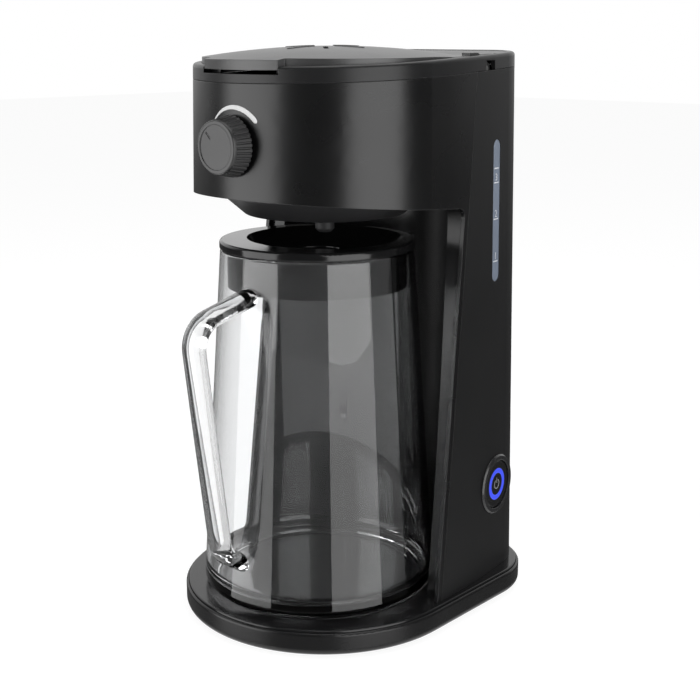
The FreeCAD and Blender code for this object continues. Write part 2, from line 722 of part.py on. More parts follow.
def water_region(grow, low, high, wing_low):
    """The tank's room behind the bay with a wing forward on the right, grown or drawn in."""
    room = tower_block(low, high, WALL + SEAT_GAP - grow)
    behind = room.common(box((TANK_LEFT - grow, TANK_FRONT - grow, 0), (FAR, FAR, FAR * 2)))
    drum = cylinder(BAY_R + BAY_WALL + 1.5 - grow, V(0, 0, 0), V(0, 0, 1), FAR * 2)
    behind = behind.cut(drum)
    wing = room.common(box((WING_X - grow, 2 - grow, wing_low), (FAR, TANK_FRONT + 25, high)))
    keep = cylinder(BASKET_R + 1.0, V(0, 0, 0), V(0, 0, 1), FAR * 2)
    return fuse([behind, wing.cut(keep)])


def water_tank():
    """The tank behind the bay, open under the lid, with its outlet spigot."""
    top = TRAY_Z - SEAT_GAP
    outer = water_region(0, TANK_Z, top, WING_Z)
    inner = water_region(-TANK_WALL, TANK_Z + TANK_WALL, top + 5, WING_Z + TANK_WALL)
    return outer.cut(inner)


def water_window():
    """The clear sight window, set in the right side and backed by the tank's wall."""
    slot = window_slot(-0.1)
    shell = tower_shell(DECK_TOP, TOWER_TOP, 0.4, WALL + SEAT_GAP - 0.1)
    return slot.common(shell).common(box((0, 0, 0), (FAR, FAR, FAR * 2)))


def heater_tube():
    """The U-shaped heating tube that lies across the foot of the tower."""
    far, near = HEATER_Y + HEATER_HALF, HEATER_Y - HEATER_HALF
    bend = HEATER_LEG + HEATER_HALF
    points = [(-HEATER_LEG, far, HEATER_Z), (bend, far, HEATER_Z), (bend, near, HEATER_Z)]
    points.append((-HEATER_LEG, near, HEATER_Z))
    return tube(points, [0, HEATER_HALF - 0.01, HEATER_HALF - 0.01, 0], HEATER_R)


def heater_brackets():
    stands = []
    top = HEATER_Z - HEATER_R - SEAT_GAP
    for x in (-25, 25):
        foot = box((x - 6, HEATER_Y - 16, DECK_TOP), (x + 6, HEATER_Y + 14, DECK_TOP + 2))
        post = box((x - 1.5, HEATER_Y - 13, DECK_TOP), (x + 1.5, HEATER_Y + 13, top))
        stands.append(fuse([foot, post]))
    return Part.makeCompound(stands)


def thermostat():
    low = HEATER_Z + HEATER_R + SEAT_GAP
    plate = box((-12, HEATER_Y - 8, low), (12, HEATER_Y + 8, low + 1.2))
    can = cylinder(7.5, V(0, HEATER_Y, low), V(0, 0, 1), 7)
    tabs = [box((x - 2.5, HEATER_Y - 0.4, low), (x + 2.5, HEATER_Y + 0.4, low + 14)) for x in (-4, 4)]
    return fuse([plate, can] + tabs)


def check_valve():
    """The one-way valve under the tank that stops hot water from running back."""
    low = TANK_Z - 16
    body = cylinder(7, V(-24, HEATER_Y + HEATER_HALF, low + 3), V(0, 0, 1), 10)
    necks = cylinder(HOSE_R, V(-24, HEATER_Y + HEATER_HALF, low), V(0, 0, 1), 16)
    return fuse([body, necks])


def inlet_hose():
    y = HEATER_Y + HEATER_HALF
    top = TANK_Z - 16
    points = [(-24, y, top), (-24, y, top - 14), (-50, y, top - 34), (-50, y, HEATER_Z)]
    points.append((-HEATER_LEG, y, HEATER_Z))
    return tube(points, [0, 10, 10, 10, 0], HOSE_R)


def riser_hose():
    """The hot hose from the heater up beside the tank to the outlet over the tray."""
    y = HEATER_Y - HEATER_HALF
    top = TRAY_Z + TRAY_T + 8
    points = [(-HEATER_LEG, y, HEATER_Z), (-52, y, HEATER_Z), (-52, y, top), (-52, TRAY_BACK - 5, top)]
    return tube(points, [0, 7.4, 12, 0], HOSE_R)


def bezel():
    """The chrome-edged ring round the power button, with a barrel through the panel."""
    flange = button_disc(BEZEL_R, BEZEL_PROUD, BEZEL_SUNK)
    outer = [e for e in flange.Edges if len(e.Vertexes) == 1 and is_proud(e)]
    flange = flange.makeChamfer(1.0, outer)
    barrel = button_disc(BEZEL_BORE + 1.5, 0, BEZEL_DEPTH)
    ring = fuse([flange, barrel])
    return ring.cut(button_disc(BEZEL_BORE, 10, 40))


def is_proud(edge):
    """Whether a round edge lies outside the panel's face."""
    centre, out = side_frame()
    return (edge.valueAt(edge.FirstParameter) - centre).dot(out) > 0.1


def power_button():
    """The round push button, with a groove for its light ring and a stem behind it."""
    cap = button_disc(BUTTON_R, BUTTON_PROUD, BUTTON_DEPTH)
    cap = cap.makeFillet(0.8, [e for e in cap.Edges if len(e.Vertexes) == 1 and is_proud(e)])
    groove = button_disc(RING_R, 5, RING_DEPTH - BUTTON_PROUD)
    island = button_disc(RING_BORE, BUTTON_PROUD, BUTTON_DEPTH)
    return fuse([cap.cut(groove), island])


def button_light_ring():
    """The clear ring in the button's face that lights up blue."""
    depth = RING_DEPTH - BUTTON_PROUD
    ring = button_disc(RING_R - 0.05, BUTTON_PROUD + 0.1, depth)
    return ring.cut(button_disc(RING_BORE + 0.05, 5, depth + 1))


def switch_body():
    """The latching switch behind the button, held by the bezel's barrel."""
    centre, out = side_frame()
    low = BEZEL_DEPTH + 12
    can = button_disc(BEZEL_BORE + 1.5, -BEZEL_DEPTH, low)
    plunger = button_disc(3, -(BUTTON_DEPTH + BUTTON_TRAVEL + SEAT_GAP), BEZEL_DEPTH + 1)
    return fuse([can, plunger])


def knob_back_y():
    reach = at_height(KNOB_Z, REACH_LOW, REACH_HIGH)
    return -reach - KNOB_GAP - 1.5


def strength_knob():
    """The ribbed knob, with a dished face and a pointer mark cut in it."""
    back = knob_back_y()
    length = back - KNOB_FACE_Y
    body = Part.makeCone(KNOB_R, KNOB_SKIRT_R, length, V(0, KNOB_FACE_Y, KNOB_Z), V(0, 1, 0))
    body = body.makeFillet(1.0, [e for e in body.Edges if e.BoundBox.YMax < KNOB_FACE_Y + 0.01])
    dish = cylinder(KNOB_R - 2.4, V(0, KNOB_FACE_Y - 1, KNOB_Z), V(0, 1, 0), 1.5)
    grooves = []
    for i in range(KNOB_RIBS):
        a = 2 * math.pi * i / KNOB_RIBS
        out = V(math.cos(a), 0, math.sin(a))
        along = V(0, length, 0) + out * (KNOB_SKIRT_R - KNOB_R)
        start = V(0, KNOB_FACE_Y, KNOB_Z) + out * (KNOB_R + 0.2) + along * 0.18
        grooves.append(cylinder(0.8, start, along, length))
    bore = cylinder(SHAFT_R + 0.02, V(0, KNOB_FACE_Y + 6, KNOB_Z), V(0, 1, 0), 40)
    mark = box((-0.5, KNOB_FACE_Y, KNOB_Z + 6.5), (0.5, KNOB_FACE_Y + 0.9, KNOB_Z + 11.5))
    mark.rotate(V(0, 0, KNOB_Z), V(0, 1, 0), -45)
    return body.cut(Part.makeCompound(grooves + [dish, bore, mark]))


def knob_shaft():
    """The shaft from the knob through its bush into the selector valve."""
    end = selector_front() + SELECTOR_LENGTH - 4
    shaft = cylinder(SHAFT_R, V(0, KNOB_FACE_Y + 6.2, KNOB_Z), V(0, 1, 0), end - KNOB_FACE_Y - 6.2)
    return shaft


def selector_front():
    return -at_height(KNOB_Z, REACH_LOW, REACH_HIGH) + WALL + SEAT_GAP


def shaft_bush():
    """The flanged bush in the head's wall that carries the knob's shaft."""
    front = knob_back_y() + 0.5
    wall = -at_height(KNOB_Z - BUSH_R - 4, REACH_LOW, REACH_HIGH)
    flange = cylinder(BUSH_R + 2, V(0, front, KNOB_Z), V(0, 1, 0), wall - front)
    barrel = cylinder(BUSH_R, V(0, front, KNOB_Z), V(0, 1, 0), selector_front() - front - 0.05)
    bore = cylinder(SHAFT_R + RUN_GAP, V(0, front - 1, KNOB_Z), V(0, 1, 0), 40)
    return fuse([flange, barrel]).cut(bore)


def selector_valve():
    """The strength valve behind the head's wall, turned by the knob's shaft."""
    front = selector_front()
    body = cylinder(SELECTOR_R, V(0, front - 6, KNOB_Z), V(0, 1, 0), SELECTOR_LENGTH + 6)
    body = body.common(tower_block(DECK_TOP, TOWER_TOP, WALL + SEAT_GAP))
    spout = cylinder(3.5, V(0, front + SELECTOR_LENGTH - 5, KNOB_Z), V(0, 0, -1), SELECTOR_R + 8)
    bore = cylinder(SHAFT_R + RUN_GAP, V(0, front - 10, KNOB_Z), V(0, 1, 0), SELECTOR_LENGTH + 7)
    clear = cylinder(BUSH_R + 0.3, V(0, front - 10, KNOB_Z), V(0, 1, 0), 10.02)
    return fuse([body, spout]).cut(Part.makeCompound([bore, clear]))


def jug_glass():
    """The blown jug: a thick floor, a slight taper, and a solid glass loop handle."""
    inner = JUG_R - JUG_GLASS
    rim = JUG_RIM_R - JUG_GLASS
    low = JUG_BASE_Z
    outer = [(0, low + 1.5), (JUG_R - 14, low + 1.0), (JUG_R - 6, low), (JUG_R, low), (JUG_RIM_R, JUG_RIM_Z)]
    points = outer + [(rim, JUG_RIM_Z), (inner, low + JUG_FLOOR), (0, low + JUG_FLOOR + 1)]
    body = revolved(points, [0, 0, 0, 6.0, 1.2, 1.2, 9.0, 0])
    corners, spine = handle_spine()
    handle = spine.makePipeShell([handle_section(corners)], True, True)
    bore = revolved([(0, low + JUG_FLOOR), (inner, low + JUG_FLOOR), (rim, JUG_RIM_Z), (0, JUG_RIM_Z)])
    return at_jug(fuse([body, handle.cut(bore)]))


def handle_spine():
    """The handle's centre line, drawn out until its grip reaches HANDLE_REACH."""
    reach = HANDLE_REACH - HANDLE_T / 2
    out = reach
    for _ in range(6):
        path = [(0, -60, LUG_TOP_Z + 0.5), (0, -out, LUG_TOP_Z - 11), (0, -out + 9, 135)]
        path += [(0, -out + 19.5, LUG_LOW_Z + 11), (0, -66, LUG_LOW_Z - 3)]
        corners = [V(*p) for p in path]
        spine = Part.Wire(rounded_edges(corners, [0, 17, 260, 17, 0], False))
        out += reach + spine.BoundBox.YMin
    return corners, spine


def handle_section(corners):
    """The handle's oval section, square to its path's first run."""
    along = (corners[1] - corners[0]).normalize()
    ellipse = Part.Ellipse(corners[0], HANDLE_W / 2, HANDLE_T / 2)
    ring = ellipse.toShape()
    ring = Part.Wire(ring)
    turn = FreeCAD.Rotation(V(0, 0, 1), along)
    ring.Placement = FreeCAD.Placement(V(0, 0, 0), turn, corners[0])
    return ring


def jug_lid():
    """The gloss plug lid: a flange on the glass, a skirt inside it and an offset dish."""
    top = JUG_RIM_Z + SEAT_GAP + CAP_RIM
    flange_low = JUG_RIM_Z + SEAT_GAP
    outer = [(0, CAP_SKIRT_Z), (CAP_SKIRT_R, CAP_SKIRT_Z), (CAP_SKIRT_R, flange_low), (CAP_R, flange_low)]
    block = revolved(outer + [(CAP_R, top), (0, top)], [0, 0, 0, 1.0, 1.8, 0])
    low_ring = Part.Wire(Part.makeCircle(DISH_LOW_R, V(0, 0, DISH_Z)))
    high_ring = Part.Wire(Part.makeCircle(DISH_R + 1.6, V(0, DISH_SHIFT + 0.6, top + 1.8)))
    dish = Part.makeLoft([low_ring, high_ring], True, True)
    depth = DISH_Z - CAP_WALL - CAP_SKIRT_Z
    under = cylinder(CAP_SKIRT_R - CAP_WALL, V(0, 0, CAP_SKIRT_Z - 1), V(0, 0, 1), depth + 1)
    lid = block.cut(dish).cut(under)
    inside, low, high = BOSS_R - 3.2, DISH_Z - 1, DISH_Z + BOSS_H
    boss = revolved([(inside, low), (BOSS_R, low), (BOSS_R, high), (inside, high)], [0, 0, 1.4, 1.4])
    lid = fuse([lid, boss])
    slots = []
    for i in range(5):
        slot = box((-2.5, CAP_SKIRT_R - 6, CAP_SKIRT_Z - 1), (2.5, CAP_SKIRT_R + 1, DISH_Z - 5))
        slot.rotate(V(0, 0, 0), V(0, 0, 1), 9 * (i - 2))
        slots.append(slot)
    drip = cylinder(6.5, V(0, 0, CAP_SKIRT_Z), V(0, 0, 1), 60)
    return at_jug(lid.cut(Part.makeCompound(slots + [drip])))


def cord_gland():
    """The rubber gland low on the back, where the mains lead would leave."""
    y = at_height(GLAND_Z, BACK_LOW, BACK_HIGH)
    body = cylinder(GLAND_R, V(GLAND_X, y - WALL - 3, GLAND_Z), V(0, 1, 0), WALL + 3)
    lip = cylinder(GLAND_R + 2, V(GLAND_X, y + 0.1, GLAND_Z), V(0, 1, 0), 2.2)
    neck = cylinder(GLAND_R, V(GLAND_X, y - 1, GLAND_Z), V(0, 1, 0), 2)
    lock = cylinder(GLAND_R + 2, V(GLAND_X, y - WALL - 3, GLAND_Z), V(0, 1, 0), 2.4)
    gland = fuse([body, lip, neck, lock])
    return gland.cut(cylinder(GLAND_BORE, V(GLAND_X, y - 20, GLAND_Z), V(0, 1, 0), 40))


PIECES = [base_shell, base_deck, jug_seat, rubber_feet, base_screws, front_housing, rear_housing, cavity_wall]
PIECES += [head_floor, top_rim, rear_deck, hinge_pins, top_lid, shower_head, inner_tray, brew_funnel]
PIECES += [brew_basket, filter_basket, drip_stop_valve, water_tank, water_window, heater_tube]
PIECES += [heater_brackets, thermostat, check_valve, inlet_hose, riser_hose, bezel, power_button]
PIECES += [button_light_ring, switch_body, strength_knob, knob_shaft, shaft_bush, selector_valve]
PIECES += [jug_glass, jug_lid, cord_gland]

os.makedirs("parts", exist_ok=True)
for make in PIECES:
    piece = make()
    piece.translate(V(0, BAY_Y, 0))
    piece.exportStep("parts/" + make.__name__ + ".step")
    bounds = piece.BoundBox
    print(make.__name__, "solids", len(piece.Solids), "valid", piece.isValid(), "volume", round(piece.Volume),
          "z", round(bounds.ZMin, 1), round(bounds.ZMax, 1))
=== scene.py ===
"""An iced tea and coffee maker: drafted black tower over a footed base, clear glass jug, hinged lid."""
import math

import bmesh
import bpy
from mathutils import Matrix, Vector
from mathutils.bvhtree import BVHTree


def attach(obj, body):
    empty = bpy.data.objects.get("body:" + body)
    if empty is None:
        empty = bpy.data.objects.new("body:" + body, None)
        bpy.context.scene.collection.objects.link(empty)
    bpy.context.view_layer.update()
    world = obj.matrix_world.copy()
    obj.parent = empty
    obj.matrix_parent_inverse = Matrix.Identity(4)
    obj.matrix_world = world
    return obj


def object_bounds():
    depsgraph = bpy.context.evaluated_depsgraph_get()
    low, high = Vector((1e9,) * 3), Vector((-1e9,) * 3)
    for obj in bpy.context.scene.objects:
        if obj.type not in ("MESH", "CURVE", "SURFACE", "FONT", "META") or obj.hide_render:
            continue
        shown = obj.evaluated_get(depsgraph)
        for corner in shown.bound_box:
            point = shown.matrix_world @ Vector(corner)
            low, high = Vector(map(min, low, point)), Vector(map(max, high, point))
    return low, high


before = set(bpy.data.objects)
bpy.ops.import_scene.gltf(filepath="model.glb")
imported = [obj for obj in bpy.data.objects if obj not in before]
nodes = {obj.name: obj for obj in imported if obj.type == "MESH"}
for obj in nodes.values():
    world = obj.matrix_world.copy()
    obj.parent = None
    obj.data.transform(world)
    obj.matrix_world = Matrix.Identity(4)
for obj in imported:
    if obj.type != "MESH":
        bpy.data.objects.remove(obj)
cad_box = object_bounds()

# Camera. It stands in front of the right-hand corner, a little above the head, where it was fitted to
# the photo. Everything is placed about the bay's upright axis, a little in front of the middle.
BAY_Y = -0.0025
PHOTO_SIDE = 700
FOCAL_PIXELS = 1282.6
SHIFT_PIXELS = (-3, -35)
SENSOR_MM = 36.0
CAMERA_PLACE = (0.5400, -0.5941 + BAY_Y, 0.3674)
CAMERA_RIGHT = Vector((0.7547, 0.6561, 0.0))
CAMERA_UP = Vector((-0.1398, 0.1608, 0.9770))


def link_object(name, data):
    """A new object in the scene, at the origin; a piece has its place in its mesh."""
    item = bpy.data.objects.new(name, data)
    bpy.context.scene.collection.objects.link(item)
    return item


camera_data = bpy.data.cameras.new("camera")
camera_data.sensor_width = SENSOR_MM
camera_data.lens = FOCAL_PIXELS / PHOTO_SIDE * SENSOR_MM
camera_data.shift_x = SHIFT_PIXELS[0] / PHOTO_SIDE
camera_data.shift_y = SHIFT_PIXELS[1] / PHOTO_SIDE
camera_data.clip_start = 0.02
camera = link_object("camera", camera_data)
camera_turn = Matrix((CAMERA_RIGHT, CAMERA_UP, CAMERA_RIGHT.cross(CAMERA_UP))).transposed().to_4x4()
camera.matrix_world = Matrix.Translation(CAMERA_PLACE) @ camera_turn
bpy.context.scene.camera = camera


# Base. A wide injection-moulded foot in satin black ABS, with a bullnose edge all round. It carries
# the tower on its rear half, held by four zinc-plated screws from below, and stands on rubber feet
# that are pressed into pads beneath it.
BLACK_ABS = (0.0060, 0.0060, 0.0063)
WORN_ABS = (0.026, 0.026, 0.027)
RUBBED_BLACK = (0.04, 0.04, 0.04)
RUBBED_METAL = (0.7, 0.7, 0.7)
FLOW_SCALE = 22.0
FLOW_BEND = 0.6
EDGE_GAIN = 9.0
HAZE = 0.10
RUB_POLISH = 0.12
GRAIN_RELIEF = 0.0002


def new_material(name):
    """A material with an empty Principled BSDF and object coordinates: (material, shader, coordinates)."""
    material = bpy.data.materials.new(name)
    material.use_nodes = True
    shader = material.node_tree.nodes["Principled BSDF"]
    coordinates = material.node_tree.nodes.new("ShaderNodeTexCoord")
    return material, shader, coordinates


def math_node(tree, operation, first, second=None, third=None):
    """A Math node whose inputs are sockets or numbers; gives its output."""
    node = tree.nodes.new("ShaderNodeMath")
    node.operation = operation
    for socket, value in zip(node.inputs, (first, second, third)):
        if value is None:
            continue
        if isinstance(value, bpy.types.NodeSocket):
            tree.links.new(value, socket)
        else:
            socket.default_value = value
    return node.outputs[0]


def moulded_skin_group():
    """Spark-eroded mould grain, slow flow marks and edges rubbed smoother and paler by hands."""
    tree = bpy.data.node_groups.new("moulded skin", "ShaderNodeTree")
    sockets = tree.interface
    sockets.new_socket("Position", in_out="INPUT", socket_type="NodeSocketVector")
    for name in ("Colour", "Worn Colour"):
        sockets.new_socket(name, in_out="INPUT", socket_type="NodeSocketColor")
    for name in ("Roughness", "Grain Scale", "Grain Depth", "Edge Radius", "Wear", "Flow"):
        sockets.new_socket(name, in_out="INPUT", socket_type="NodeSocketFloat")
    sockets.new_socket("Colour", in_out="OUTPUT", socket_type="NodeSocketColor")
    sockets.new_socket("Roughness", in_out="OUTPUT", socket_type="NodeSocketFloat")
    sockets.new_socket("Normal", in_out="OUTPUT", socket_type="NodeSocketVector")
    given = tree.nodes.new("NodeGroupInput")
    result = tree.nodes.new("NodeGroupOutput")
    link = tree.links.new

    grain = tree.nodes.new("ShaderNodeTexNoise")
    grain.inputs["Detail"].default_value = 3.0
    link(given.outputs["Position"], grain.inputs["Vector"])
    link(given.outputs["Grain Scale"], grain.inputs["Scale"])
    flow = tree.nodes.new("ShaderNodeTexNoise")
    flow.inputs["Scale"].default_value = FLOW_SCALE
    flow.inputs["Detail"].default_value = 4.0
    flow.inputs["Distortion"].default_value = FLOW_BEND
    link(given.outputs["Position"], flow.inputs["Vector"])

    rounded = tree.nodes.new("ShaderNodeBevel")
    rounded.samples = 6
    link(given.outputs["Edge Radius"], rounded.inputs["Radius"])
    surface = tree.nodes.new("ShaderNodeNewGeometry")
    dot = tree.nodes.new("ShaderNodeVectorMath")
    dot.operation = "DOT_PRODUCT"
    link(rounded.outputs["Normal"], dot.inputs[0])
    link(surface.outputs["Normal"], dot.inputs[1])
    bend = math_node(tree, "SUBTRACT", 1.0, dot.outputs["Value"])
    edge = math_node(tree, "MULTIPLY", bend, EDGE_GAIN)
    edge = math_node(tree, "MINIMUM", edge, 1.0)
    rub = math_node(tree, "MULTIPLY", edge, flow.outputs["Fac"])
    rub = math_node(tree, "MULTIPLY", rub, given.outputs["Wear"])

    tint = tree.nodes.new("ShaderNodeMix")
    tint.data_type = "RGBA"
    link(rub, tint.inputs["Factor"])
    link(given.outputs["Colour"], tint.inputs["A"])
    link(given.outputs["Worn Colour"], tint.inputs["B"])
    mark = math_node(tree, "SUBTRACT", flow.outputs["Fac"], 0.5)
    brightness = math_node(tree, "MULTIPLY_ADD", mark, given.outputs["Flow"], 1.0)
    shade = tree.nodes.new("ShaderNodeVectorMath")
    shade.operation = "SCALE"
    link(tint.outputs["Result"], shade.inputs[0])
    link(brightness, shade.inputs["Scale"])
    link(shade.outputs["Vector"], result.inputs["Colour"])

    haze = math_node(tree, "MULTIPLY_ADD", mark, HAZE, given.outputs["Roughness"])
    haze = math_node(tree, "MULTIPLY_ADD", rub, -RUB_POLISH, haze)
    link(haze, result.inputs["Roughness"])

    bump = tree.nodes.new("ShaderNodeBump")
    bump.inputs["Distance"].default_value = GRAIN_RELIEF
    link(given.outputs["Grain Depth"], bump.inputs["Strength"])
    link(grain.outputs["Fac"], bump.inputs["Height"])
    link(rounded.outputs["Normal"], bump.inputs["Normal"])
    link(bump.outputs["Normal"], result.inputs["Normal"])
    return tree


moulded_skin = moulded_skin_group()


def moulded(name, colour, worn, roughness, grain=1500.0, depth=0.10, edge=0.0006, wear=0.4, flow=0.3,
            specular=0.5, metallic=0.0):
    """A moulded, pressed or cast finish; every number that is the same all over sits on the shader itself."""
    material, shader, coordinates = new_material(name)
    skin = material.node_tree.nodes.new("ShaderNodeGroup")
    skin.node_tree = moulded_skin
    skin.inputs["Colour"].default_value = (*colour, 1.0)
    skin.inputs["Worn Colour"].default_value = (*worn, 1.0)
    skin.inputs["Roughness"].default_value = roughness
    skin.inputs["Grain Scale"].default_value = grain
    skin.inputs["Grain Depth"].default_value = depth
    skin.inputs["Edge Radius"].default_value = edge
    skin.inputs["Wear"].default_value = wear
    skin.inputs["Flow"].default_value = flow
    link = material.node_tree.links.new
    link(coordinates.outputs["Object"], skin.inputs["Position"])
    link(skin.outputs["Colour"], shader.inputs["Base Color"])
    link(skin.outputs["Roughness"], shader.inputs["Roughness"])
    link(skin.outputs["Normal"], shader.inputs["Normal"])
    shader.inputs["Specular IOR Level"].default_value = specular
    shader.inputs["Metallic"].default_value = metallic
    return material


def finish(material, *names):
    """Gives CAD nodes their finish, in every material slot they have."""
    for name in names:
        for slot in nodes[name].material_slots:
            slot.material = material


base_abs = moulded("base satin ABS", BLACK_ABS, WORN_ABS, 0.26, grain=1800, depth=0.05, specular=0.45)
finish(base_abs, "base_shell")
foot_rubber = moulded("foot rubber", (0.018, 0.018, 0.018), RUBBED_BLACK, 0.75, grain=2500, depth=0.3)
finish(foot_rubber, "rubber_feet")
screw_steel = moulded("zinc plated screw", (0.55, 0.55, 0.53), RUBBED_METAL, 0.32, grain=3000, edge=0.0002,
                      metallic=1.0)
finish(screw_steel, "base_screws")


# Jug deck and seat. A gloss black ABS deck plate is clipped into the base, with a low round seat
# moulded in satin ABS on it, which holds the jug in the middle of the bay.
deck_gloss = moulded("gloss black ABS", (0.008, 0.008, 0.0085), WORN_ABS, 0.14, grain=900, depth=0.01)
finish(deck_gloss, "base_deck")
seat_abs = moulded("seat ABS", (0.012, 0.012, 0.0125), WORN_ABS, 0.34, grain=2200, depth=0.15, specular=0.45)
finish(seat_abs, "jug_seat")


# Tower. The front skirt with its two legs and the side-and-back shell are two drafted ABS mouldings
# that meet on the leaning seam. The front is polished a little more than the finely textured sides;
# a gloss liner and the head's floor close the bay between them.
front_abs = moulded("front satin ABS", (0.0042, 0.0042, 0.0045), WORN_ABS, 0.28, grain=1600, depth=0.03,
                    specular=0.55, flow=0.2)
finish(front_abs, "front_housing")
side_abs = moulded("side charcoal ABS", (0.0100, 0.0100, 0.0104), (0.03, 0.03, 0.031), 0.42, grain=2300,
                   depth=0.16, specular=0.32)
finish(side_abs, "rear_housing", "cord_gland")
bay_abs = moulded("bay gloss ABS", BLACK_ABS, WORN_ABS, 0.20, grain=900, depth=0.006, specular=0.4)
finish(bay_abs, "cavity_wall")
floor_abs = moulded("head floor ABS", (0.075, 0.075, 0.077), WORN_ABS, 0.20, grain=1800, depth=0.03,
                    specular=0.7)
finish(floor_abs, "head_floor")


# Top frame. The rim with its rounded edge and the fixed deck behind the lid are satin black ABS
# mouldings, snapped into the top of the tower; they carry the two steel pins that the lid turns on.
rim_abs = moulded("rim satin ABS", (0.011, 0.011, 0.0115), (0.04, 0.04, 0.041), 0.33, grain=1900,
                  specular=0.40)
finish(rim_abs, "top_rim", "rear_deck")
pin_steel = moulded("hinge pin steel", (0.60, 0.60, 0.59), RUBBED_METAL, 0.22, grain=2600, depth=0.05,
                    edge=0.0002, metallic=1.0)
finish(pin_steel, "hinge_pins")


# Lid. A shallow crowned ABS moulding with a coarser grain, a finger tab in front and
# steam slots in the middle; the shower head that wets the leaves clips in underneath.
# The lid's grey is charcoal plastic made paler by painted sheen, standing in for the light its top catches
# from above.
lid_abs = moulded("lid textured ABS", (0.036, 0.036, 0.0365), (0.06, 0.06, 0.06), 0.36, grain=1300,
                  depth=0.22, specular=0.85)
finish(lid_abs, "top_lid")
inner_pp = moulded("inner black PP", (0.014, 0.014, 0.014), (0.03, 0.03, 0.03), 0.48, grain=1700, depth=0.15)
finish(inner_pp, "shower_head", "inner_tray")


# Brewing parts. The polypropylene funnel and its basket lift out through the lid, with a fine steel
# filter that has upright wires and rings welded round it. A silicone drip stop closes the outlet
# when the jug is away; the valve and the hoses are silicone too.
funnel_pp = moulded("funnel grey PP", (0.022, 0.022, 0.023), RUBBED_BLACK, 0.40, depth=0.12)
finish(funnel_pp, "brew_funnel", "brew_basket")
filter_mesh = moulded("filter mesh", (0.30, 0.30, 0.29), (0.5, 0.5, 0.5), 0.35, grain=2600, depth=0.6,
                      edge=0.0002, metallic=1.0)
finish(filter_mesh, "filter_basket")


WIRE_SIDES = 6
RING_SIDES = 64


def wire_cage_tree():
    """Upright wires set round an axis, and rings that hold them, on a cone."""
    tree = bpy.data.node_groups.new("wire cage", "GeometryNodeTree")
    sockets = tree.interface
    sockets.new_socket("Geometry", in_out="INPUT", socket_type="NodeSocketGeometry")
    for name in ("Staves", "Rings"):
        sockets.new_socket(name, in_out="INPUT", socket_type="NodeSocketInt")
    for name in ("Low Radius", "High Radius", "Low Height", "High Height", "Wire"):
        sockets.new_socket(name, in_out="INPUT", socket_type="NodeSocketFloat")
    sockets.new_socket("Axis", in_out="INPUT", socket_type="NodeSocketVector")
    sockets.new_socket("Material", in_out="INPUT", socket_type="NodeSocketMaterial")
    sockets.new_socket("Geometry", in_out="OUTPUT", socket_type="NodeSocketGeometry")
    given = tree.nodes.new("NodeGroupInput").outputs
    link = tree.links.new

    def made(kind, **inputs):
        """A node of a kind, with sockets or plain values given to its inputs by name."""
        node = tree.nodes.new(kind)
        for name, value in inputs.items():
            socket = node.inputs[name.replace("_", " ")]
            if isinstance(value, bpy.types.NodeSocket):
                link(value, socket)
            else:
                socket.default_value = value
        return node

    profile = made("GeometryNodeCurvePrimitiveCircle", Resolution=WIRE_SIDES,
                   Radius=given["Wire"]).outputs["Curve"]
    foot = made("ShaderNodeCombineXYZ", X=given["Low Radius"], Z=given["Low Height"]).outputs[0]
    head = made("ShaderNodeCombineXYZ", X=given["High Radius"], Z=given["High Height"]).outputs[0]
    line = made("GeometryNodeCurvePrimitiveLine", Start=foot, End=head).outputs["Curve"]
    stave = made("GeometryNodeCurveToMesh", Curve=line, Profile_Curve=profile, Fill_Caps=True).outputs["Mesh"]
    index = made("GeometryNodeInputIndex").outputs[0]
    step = math_node(tree, "DIVIDE", 2 * math.pi, given["Staves"])
    angle = math_node(tree, "MULTIPLY", index, step)
    turned = made("ShaderNodeCombineXYZ", Z=angle).outputs[0]
    turned = made("FunctionNodeEulerToRotation", Euler=turned).outputs[0]
    still = made("GeometryNodeMeshLine", Count=given["Staves"], Offset=(0.0, 0.0, 0.0)).outputs["Mesh"]
    staves = made("GeometryNodeInstanceOnPoints", Points=still, Instance=stave, Rotation=turned).outputs[0]

    loop = made("GeometryNodeCurvePrimitiveCircle", Resolution=RING_SIDES,
                Radius=given["Low Radius"]).outputs["Curve"]
    hoop = made("GeometryNodeCurveToMesh", Curve=loop, Profile_Curve=profile).outputs["Mesh"]
    tall = math_node(tree, "SUBTRACT", given["High Height"], given["Low Height"])
    gaps = math_node(tree, "SUBTRACT", given["Rings"], 1.0)
    rise = made("ShaderNodeCombineXYZ", Z=math_node(tree, "DIVIDE", tall, gaps)).outputs[0]
    begin = made("ShaderNodeCombineXYZ", Z=given["Low Height"]).outputs[0]
    levels = made("GeometryNodeMeshLine", Count=given["Rings"], Start_Location=begin,
                  Offset=rise).outputs["Mesh"]
    growth = math_node(tree, "DIVIDE", given["High Radius"], given["Low Radius"])
    growth = math_node(tree, "SUBTRACT", growth, 1.0)
    share = math_node(tree, "DIVIDE", index, gaps)
    wide = math_node(tree, "MULTIPLY_ADD", growth, share, 1.0)
    scale = made("ShaderNodeCombineXYZ", X=wide, Y=wide, Z=1.0).outputs[0]
    rings = made("GeometryNodeInstanceOnPoints", Points=levels, Instance=hoop, Scale=scale).outputs[0]

    both = tree.nodes.new("GeometryNodeJoinGeometry")
    link(staves, both.inputs[0])
    link(rings, both.inputs[0])
    real = made("GeometryNodeRealizeInstances", Geometry=both.outputs[0]).outputs[0]
    placed = made("GeometryNodeSetPosition", Geometry=real, Offset=given["Axis"]).outputs[0]
    dressed = made("GeometryNodeSetMaterial", Geometry=placed, Material=given["Material"]).outputs[0]
    link(dressed, tree.nodes.new("NodeGroupOutput").inputs["Geometry"])
    return tree


